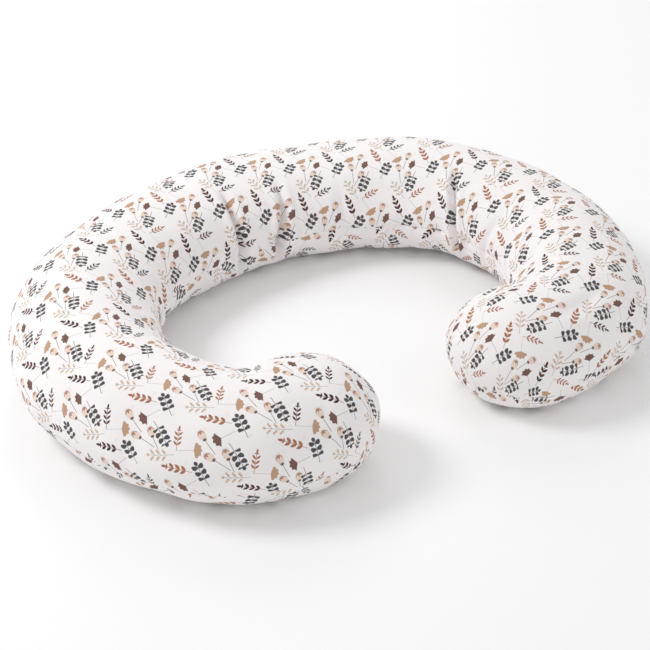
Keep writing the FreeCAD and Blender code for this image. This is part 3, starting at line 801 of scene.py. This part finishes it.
def flower(p, base, tip, bow):
    """A pale bud with a darker crown of petals, on a thin stem."""
    along, across, size, _ = p.motif(base, tip)
    across = bent(along, across, size, bow)
    bud_middle, bud_long, bud_wide = size - 5.4, 5.6, 4.0
    petal, crown_start, cup_place = 1.7, size - 4.4, size - 10.6
    bud = oval(along, across, bud_middle, 0, 0, bud_long, bud_wide)
    p.ink(bud, BLUSH)
    zigzag = abs(across).math("PINGPONG", petal)
    crown = bud * below(crown_start + zigzag * 1.5 - along, 0.5)
    p.ink(crown, TERRACOTTA, 0.85)
    step = across.math("PINGPONG", 1.25)
    threads = below(abs(step - 0.6) - 0.12) * between(along, size - 0.8, size + 1.6)
    p.ink(threads * below(abs(across) - 3.0), GREY_INK, 0.8)
    cup = oval(along, across, cup_place, 0, 0, 1.5, 2.0)
    p.ink(either(cup, stem(along, across, 0, size - 10)), DARK_BROWN, 0.85)


def fan(p, base, tip, radius, half_angle, color, ray_color, stem_color):
    """A fan leaf on a thin stem; its edge is notched and rays run out from its foot."""
    along, across, size, _ = p.motif(base, tip)
    foot = along - (size - radius)
    reach = length_of(foot, across)
    angle = abs(across.math("ARCTAN2", foot))
    notch = (angle * 11.0).math("COSINE") * (0.07 * radius)
    inside = below(reach - radius * 0.94 - notch) * below(angle - math.radians(half_angle), 0.04)
    p.ink(inside, color, 0.92)
    rays = below((angle * 34.0).math("COSINE") * -1.0 + 0.45, 0.3)
    p.ink(rays * inside, ray_color, 0.55)
    p.ink(stem(along, across, 0, size - radius + 1, 0.2), stem_color, 0.85)


def berry_sprig(p, base, tip):
    """Grey twigs in pairs that end in pale berries."""
    along, across, size, _ = p.motif(base, tip)
    across = bent(along, across, size, 0.06)
    pitch = 6.4
    step = along.math("MODULO", pitch)
    side = abs(across)
    live = between(along, size * 0.28, size - 1.0)
    near = oval(step, side, 3.6, 2.6, 0, 1.5, 1.5)
    far = oval(step, side, 5.4, 4.6, 0, 1.45, 1.45)
    end = oval(along, across, size - 0.6, 0, 0, 1.6, 1.6)
    p.ink(either(either(near, far) * live, end), CREAM)
    twig = below(abs(weigh(step, side, -0.66, 0.75, 0.5)) - 0.17) * below(side - 4.4)
    p.ink(either(twig * live, stem(along, across, 0, size - 1, 0.2)), GREY_INK, 0.85)


def faint_spots(p, middles):
    """Very pale washes of colour between the motifs."""
    for x, y, radius in middles:
        along, across, _, _ = p.motif((x - radius, y), (x + radius, y))
        spot = oval(along, across, radius, 0, 0, radius, radius * 0.7)
        p.ink(spot, PALE_BLUSH, 0.9)


def print_color(tree):
    """The printed cloth's colour as one socket."""
    p = Print(tree)
    faint_spots(p, [(6, 17, 3.2), (-10, -21, 2.6), (-32, 24, 2.8), (12, -27, 2.4)])
    berry_sprig(p, (-29, -41.8), (-36.8, -14))
    fan(p, (-23.3, 37), (-15.9, 12), 8.6, 78, TAN, TERRACOTTA, TAN)
    flower(p, (-16, -1.2), (2.1, 21.2), 0.05)
    flower(p, (-27.2, -19.9), (-19.4, 8.7), -0.05)
    flower(p, (-27.9, -24.3), (-8.7, -8.1), 0.06)
    paired_branch(p, (-24, -43), (1.9, -38), 5.0, (6.0, 2.1), 42, 0.02)
    paired_branch(p, (19.1, -5.6), (17.7, 27.3), 6.3, (7.0, 3.1), 36, -0.04)
    fan(p, (12.3, -11.8), (-5, 4.8), 9.0, 64, DARK_BROWN, TERRACOTTA, GREY_INK)
    eucalyptus(p, (-1.2, -10), (-22.2, -33), 0.05)
    eucalyptus(p, (-50.6, -3.6), (-29.9, 15.6), -0.05)
    color = GROUND
    for mask, ink, strength in p.inks:
        share = mask if strength == 1 else mask * strength
        color = mix_color(tree, share, color, ink)
    return color


# ---- materials ---------------------------------------------------------------------------------
def new_material(name, roughness, sheen=0.0, specular=0.35):
    material = bpy.data.materials.new(name)
    material.use_nodes = True
    shader = material.node_tree.nodes["Principled BSDF"]
    shader.inputs["Roughness"].default_value = roughness
    shader.inputs["Sheen Weight"].default_value = sheen
    shader.inputs["Sheen Roughness"].default_value = 0.5
    shader.inputs["Specular IOR Level"].default_value = specular
    return material, material.node_tree, shader


def texture_place(tree, uv_name=None):
    if uv_name:
        node = tree.nodes.new("ShaderNodeUVMap")
        node.uv_map = uv_name
        return node.outputs[0]
    return tree.nodes.new("ShaderNodeTexCoord").outputs["Object"]


def noise(tree, place, scale, detail=3.0, roughness=0.5):
    node = tree.nodes.new("ShaderNodeTexNoise")
    tree.links.new(place, node.inputs["Vector"])
    node.inputs["Scale"].default_value = scale
    node.inputs["Detail"].default_value = detail
    node.inputs["Roughness"].default_value = roughness
    return Term(tree, node.outputs["Fac"])


def wave(tree, place, direction, scale):
    node = tree.nodes.new("ShaderNodeTexWave")
    tree.links.new(place, node.inputs["Vector"])
    node.bands_direction = direction
    node.inputs["Scale"].default_value = scale
    node.inputs["Distortion"].default_value = 0.4
    node.inputs["Detail Scale"].default_value = 2.0
    return Term(tree, node.outputs["Fac"])


def add_bump(tree, shader, height, distance, strength=1.0):
    node = tree.nodes.new("ShaderNodeBump")
    node.inputs["Distance"].default_value = distance
    node.inputs["Strength"].default_value = strength
    tree.links.new(height.socket, node.inputs["Height"])
    tree.links.new(node.outputs[0], shader.inputs["Normal"])


def shade_and_mottle(tree, color, height, amount):
    """The colour darkened a little where height is low: where height is a surface's relief, this is
    painted shade in its hollows; where it is plain noise, a random mottle.
    """
    scale = height * amount + (1 - amount)
    node = tree.nodes.new("ShaderNodeVectorMath")
    node.operation = "SCALE"
    if isinstance(color, bpy.types.NodeSocket):
        tree.links.new(color, node.inputs[0])
    else:
        node.inputs[0].default_value = color[:3]
    tree.links.new(scale.socket, node.inputs["Scale"])
    return node.outputs[0]


def vary_roughness(tree, shader, height, low, high):
    tree.links.new((height * (high - low) + low).socket, shader.inputs["Roughness"])


def weave(tree, place, scale):
    """Plain weave: crossing threads."""
    return wave(tree, place, "X", scale) * wave(tree, place, "Y", scale)


def cotton(name):
    material, tree, shader = new_material(name, 0.85, sheen=0.04, specular=0.16)
    place = texture_place(tree, "Print")
    threads = weave(tree, place, 340.0)
    rumple = noise(tree, place, 45.0, 4.0, 0.55)
    color = print_color(tree)
    # The print is darkened a little between the woven threads: painted shade in the weave's
    # hollows.
    tree.links.new(shade_and_mottle(tree, color, threads, 0.045), shader.inputs["Base Color"])
    vary_roughness(tree, shader, rumple, 0.78, 0.92)
    add_bump(tree, shader, rumple * 0.75 + threads * 0.06, 0.0022, 0.55)
    return material


def thread_material(name, color, scale=900.0):
    material, tree, shader = new_material(name, 0.6, sheen=0.2)
    place = texture_place(tree)
    ply = wave(tree, place, "DIAGONAL", scale)
    fuzz = noise(tree, place, scale * 2)
    # Darker in the grooves between the twisted plies: painted shade.
    tree.links.new(shade_and_mottle(tree, color, ply, 0.16), shader.inputs["Base Color"])
    vary_roughness(tree, shader, fuzz, 0.45, 0.7)
    add_bump(tree, shader, ply + fuzz * 0.3, 0.0002, 0.6)
    return material


def tape_material(name, color, scale, sheen):
    """Woven tape or satin: fine ribs crossed by a diagonal."""
    material, tree, shader = new_material(name, 0.62, sheen=sheen)
    place = texture_place(tree)
    ribs = wave(tree, place, "Z", scale)
    cross = wave(tree, place, "DIAGONAL", scale * 0.7)
    soil = noise(tree, place, 60.0)
    height = ribs * 0.6 + cross * 0.4
    # Darker between the ribs, a painted shade, and in random soiled patches.
    tree.links.new(shade_and_mottle(tree, color, height * 0.7 + soil * 0.3, 0.12),
                   shader.inputs["Base Color"])
    vary_roughness(tree, shader, soil, 0.5, 0.72)
    add_bump(tree, shader, height, 0.0002, 0.7)
    return material


def hard_material(name, color, rough, metallic=0.0, coat=0.0):
    """Moulded nylon or enamelled metal with slight wear and unevenness."""
    material, tree, shader = new_material(name, rough, specular=0.5)
    shader.inputs["Metallic"].default_value = metallic
    shader.inputs["Coat Weight"].default_value = coat
    shader.inputs["Coat Roughness"].default_value = 0.12
    place = texture_place(tree)
    patches = noise(tree, place, 420.0, 4.0, 0.6)
    fine = noise(tree, place, 2600.0, 2.0)
    # Darker in random patches that the bump also lowers: uneven tone, with painted shade in the
    # dips.
    tree.links.new(shade_and_mottle(tree, color, patches, 0.10), shader.inputs["Base Color"])
    vary_roughness(tree, shader, fine, rough * 0.8, rough * 1.3)
    add_bump(tree, shader, fine * 0.5 + patches * 0.5, 0.0001, 0.5)
    return material


def fleece(name, color, scale, distance):
    """Felted or fluffy white fibre."""
    material, tree, shader = new_material(name, 0.95, sheen=0.4)
    place = texture_place(tree)
    clumps = noise(tree, place, scale, 5.0, 0.65)
    hairs = noise(tree, place, scale * 9, 3.0, 0.7)
    # Darker between the fibre clumps: painted shade, together with a random tone.
    tree.links.new(shade_and_mottle(tree, color, clumps, 0.10), shader.inputs["Base Color"])
    vary_roughness(tree, shader, hairs, 0.85, 1.0)
    add_bump(tree, shader, clumps + hairs * 0.4, distance, 0.8)
    return material


COTTON = cotton("printed_cotton")
THREAD = thread_material("sewing_thread", linear(238, 236, 233))
ZIP_TAPE = tape_material("zip_tape", linear(240, 239, 237), 520.0, 0.2)
COIL = hard_material("zip_coil", linear(236, 236, 233), 0.38)
ENAMEL = hard_material("zip_enamel", linear(233, 232, 229), 0.28, metallic=0.2, coat=0.6)
SATIN = tape_material("label_satin", linear(247, 246, 244), 900.0, 0.35)
CASE = fleece("inner_case_cloth", linear(247, 247, 246), 900.0, 0.0003)
FIBRE = fleece("polyester_fibre", linear(250, 250, 249), 120.0, 0.003)


# ---- building the soft parts -------------------------------------------------------------------
COARSE = 0.0052
CASE_DEPTH = 0.0032
FILL_DEPTH = 0.0062
OVERLOCK_WIDTH = 0.0105
OVERLOCK_THICKNESS = 0.0009
COVER_OVERLOCK_DEPTH = 0.0010
CASE_OVERLOCK_DEPTH = 0.0038
STITCH_ROW = 0.046
STITCH_COUNT = 25
STITCH_LENGTH = 0.0026
STITCH_RADIUS = 0.00028

skin = skin_mesh("skin", COARSE)
inflate(skin)
inner = copy_skin(skin, "inner_skin")
smoother = skin.modifiers.new("Smooth", "SUBSURF")
smoother.levels = 1
smoother.uv_smooth = "NONE"
apply_modifiers(skin)
shape_skin(skin)
shape_skin(inner)


def finish_soft(obj, node, material):
    """Makes obj stand for its CAD node."""
    obj.data.materials.clear()
    obj.data.materials.append(material)
    obj.name = node + "_cloth"
    smooth(obj.data)
    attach(obj, "pillow")
    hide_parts(node)


def overlock(source, name, depth, open_at_zip):
    """The sewn edge of two panels, folded down inside along the seam."""
    obj = copy_skin(source, name + "_overlock", top=False)
    seam = seam_distance(obj.data)
    s, c, _ = tube_place(obj.data)
    at_zip = (c > 0) & (np.abs(s) < ZIP_HALF_LENGTH + 0.004)
    kept = (seam < OVERLOCK_WIDTH) & ~(at_zip & open_at_zip)
    edit = bmesh.new()
    edit.from_mesh(obj.data)
    gone = [face for face in edit.faces if not all(kept[v.index] for v in face.verts)]
    bmesh.ops.delete(edit, geom=gone, context="FACES")
    edit.to_mesh(obj.data)
    edit.free()
    points = get_points(obj.data) - get_normals(obj.data) * depth
    set_points(obj.data, points)
    thick = obj.modifiers.new("Thick", "SOLIDIFY")
    thick.thickness = OVERLOCK_THICKNESS
    thick.offset = -1
    apply_modifiers(obj)
    return obj


def closing_stitches(source):
    """A row of short bent stitches on the inner case, low on the inside of the back."""
    case = copy_skin(source, "case_guide", depth=CASE_DEPTH)
    edit = bmesh.new()
    edit.from_mesh(case.data)
    tree = BVHTree.FromBMesh(edit)
    verts, faces = [], []
    places = np.linspace(-STITCH_ROW, STITCH_ROW, STITCH_COUNT)
    for s in places:
        ends = [skin_point(np.array(s + step), np.array(-TOP_HALF + 0.003), True)
                for step in (-STITCH_LENGTH / 2, STITCH_LENGTH / 2)]
        found = [tree.find_nearest(Vector(end)) for end in ends]
        add_stitch(verts, faces, found)
    edit.free()
    bpy.data.objects.remove(case)
    mesh = bpy.data.meshes.new("closing_stitches")
    mesh.from_pydata(verts, [], faces)
    obj = bpy.data.objects.new("closing_stitches", mesh)
    bpy.context.scene.collection.objects.link(obj)
    weld(obj, 0.000001)
    return obj


def add_stitch(verts, faces, found):
    """One stitch between two points of the cloth, arched over it."""
    (a, normal, _, _), (b, other, _, _) = found
    normal = (normal + other).normalized()
    way = (b - a).normalized()
    side = way.cross(normal).normalized()
    first = len(verts)
    rings, around = 7, 8
    for i in range(rings):
        t = i / (rings - 1)
        middle = a.lerp(b, t) + normal * (math.sin(math.pi * t) * 0.0004)
        radius = STITCH_RADIUS * math.sqrt(max(1 - (2 * t - 1) ** 4, 0.04))
        for j in range(around):
            turn = 2 * math.pi * j / around
            verts.append(middle + (side * math.cos(turn) + normal * math.sin(turn)) * radius)
    for i in range(rings - 1):
        for j in range(around):
            k = (j + 1) % around
            p, q = first + i * around, first + (i + 1) * around
            faces.append((p + j, p + k, q + k, q + j))
    faces.append(tuple(first + j for j in range(around)))
    faces.append(tuple(first + (rings - 1) * around + j for j in range(around)))


for top, side in ((True, "top"), (False, "bottom")):
    panel = copy_skin(skin, "cover_" + side, top)
    open_zip(panel.data, top)
    finish_soft(panel, f"cover_{side}_panel", COTTON)
    case = copy_skin(inner, "case_" + side, depth=CASE_DEPTH)
    keep_panel(case.data, top)
    finish_soft(case, f"inner_case_{side}_panel", CASE)
filling = copy_skin(inner, "filling", depth=FILL_DEPTH)
finish_soft(filling, "fibre_filling", FIBRE)
finish_soft(overlock(inner, "cover", COVER_OVERLOCK_DEPTH, True), "cover_seam_overlock", THREAD)
finish_soft(overlock(inner, "case", CASE_OVERLOCK_DEPTH, False), "inner_case_seam_overlock", THREAD)
finish_soft(closing_stitches(inner), "inner_case_closing_stitch", THREAD)
for spare in (skin, inner):
    bpy.data.objects.remove(spare)


# ---- the zip's coils: one nylon wire wound as a flattened spring on each tape -----------------
COIL_PITCH = 0.0015
COIL_STEPS = 12
COIL_WIRE = 0.00031
COIL_DEPTH = 0.0015


def zip_coil(node):
    low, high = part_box(node)
    outer = high.y - SPINE_AXIS_Y
    middle = (low.z + high.z) / 2
    deep = COIL_DEPTH / 2
    tall = (high.z - low.z) / 2
    half_angle = math.asin(high.x / outer) - COIL_WIRE / outer
    turns = round(2 * half_angle * outer / COIL_PITCH)
    t = np.linspace(0, 1, turns * COIL_STEPS + 1)
    wind = 2 * math.pi * turns * t
    angle = half_angle * (2 * t - 1)
    reach = outer - deep + (deep - COIL_WIRE) * np.cos(wind)
    up = middle + (tall - COIL_WIRE) * np.sin(wind)
    line = np.stack([np.sin(angle) * reach, np.cos(angle) * reach + SPINE_AXIS_Y, up], -1)
    obj = tube_along(node + "_wire", line, COIL_WIRE)
    obj.data.materials.append(COIL)
    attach(obj, "pillow")
    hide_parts(node)


def tube_along(name, line, radius, around=6):
    way = np.gradient(line, axis=0)
    way = way / np.linalg.norm(way, axis=1)[:, None]
    out = line - np.array([0, SPINE_AXIS_Y, 0])
    out[:, 2] = 0
    side = np.cross(way, out / np.linalg.norm(out, axis=1)[:, None])
    side = side / np.linalg.norm(side, axis=1)[:, None]
    lift = np.cross(side, way)
    turn = np.linspace(0, 2 * math.pi, around, endpoint=False)
    ring = side[:, None] * np.cos(turn)[:, None] + lift[:, None] * np.sin(turn)[:, None]
    points = (line[:, None] + ring * radius).reshape(-1, 3)
    faces = []
    for i in range(len(line) - 1):
        for j in range(around):
            a, b = i * around + j, i * around + (j + 1) % around
            faces.append((a, b, b + around, a + around))
    faces.append(tuple(range(around)))
    faces.append(tuple(range(len(points) - around, len(points))))
    mesh = bpy.data.meshes.new(name)
    mesh.from_pydata(points.tolist(), [], faces)
    obj = bpy.data.objects.new(name, mesh)
    bpy.context.scene.collection.objects.link(obj)
    weld(obj, 0.0000001)
    return obj


zip_coil("zip_coil_upper")
zip_coil("zip_coil_lower")


# ---- CAD pieces that keep their shape ----------------------------------------------------------
KEPT = {
    "zip_tape_upper": ZIP_TAPE,
    "zip_tape_lower": ZIP_TAPE,
    "zip_top_stops": ENAMEL,
    "zip_bottom_stop": ENAMEL,
    "zip_slider": ENAMEL,
    "zip_pull_tab": ENAMEL,
    "zip_topstitch_upper": THREAD,
    "zip_topstitch_lower": THREAD,
    "side_label": SATIN,
    "care_label": SATIN,
}
for node, material in KEPT.items():
    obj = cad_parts[node]
    for place in obj.material_slots:
        place.material = material


# ---- floor, light and camera -------------------------------------------------------------------
CAMERA_AZIMUTH = math.radians(-29.4389)
CAMERA_ELEVATION = math.radians(35.2216)
CAMERA_DISTANCE = 1.863
CAMERA_TARGET = Vector((0, -0.0397, 0))
SENSOR = 36.0
LENS = 85.05
SHIFT_X = -0.0221
SHIFT_Y = 0.0281
FLOOR_HALF = 6.0


def make_camera():
    camera = bpy.data.cameras.new("Camera")
    camera.sensor_width = SENSOR
    camera.lens = LENS
    camera.shift_x = SHIFT_X
    camera.shift_y = SHIFT_Y
    obj = bpy.data.objects.new("Camera", camera)
    bpy.context.scene.collection.objects.link(obj)
    level = math.cos(CAMERA_ELEVATION)
    back = Vector((math.sin(CAMERA_AZIMUTH) * level, -math.cos(CAMERA_AZIMUTH) * level,
                   math.sin(CAMERA_ELEVATION)))
    obj.location = CAMERA_TARGET + back * CAMERA_DISTANCE
    obj.rotation_euler = back.to_track_quat("Z", "Y").to_euler()
    bpy.context.scene.camera = obj


def make_light(name, place, size, power):
    light = bpy.data.lights.new(name, "AREA")
    light.shape = "DISK"
    light.size = size
    light.energy = power
    obj = bpy.data.objects.new(name, light)
    bpy.context.scene.collection.objects.link(obj)
    obj.location = place
    obj.rotation_euler = Vector(place).to_track_quat("Z", "Y").to_euler()


def make_floor():
    mesh = bpy.data.meshes.new("floor")
    half = FLOOR_HALF
    corners = [(-half, -half, 0), (half, -half, 0), (half, half, 0), (-half, half, 0)]
    mesh.from_pydata(corners, [], [(0, 1, 2, 3)])
    obj = bpy.data.objects.new("floor", mesh)
    bpy.context.scene.collection.objects.link(obj)
    material, tree, shader = new_material("floor_white", 0.9, specular=0.1)
    grain = noise(tree, texture_place(tree), 30.0)
    tree.links.new(shade_and_mottle(tree, linear(252, 252, 252), grain, 0.01), shader.inputs["Base Color"])
    obj.data.materials.append(material)


def make_world():
    world = bpy.data.worlds.new("studio")
    world.use_nodes = True
    background = world.node_tree.nodes["Background"]
    background.inputs["Color"].default_value = (1, 1, 1, 1)
    background.inputs["Strength"].default_value = 0.66
    bpy.context.scene.world = world


make_camera()
make_light("key", (-1.5, 1.0, 1.9), 1.0, 26)
make_light("fill", (1.6, -1.6, 1.6), 1.6, 5)
make_light("back", (0.8, 1.8, 1.6), 1.4, 8)
make_floor()
make_world()
view = bpy.context.scene.view_settings
view.view_transform = "Standard"
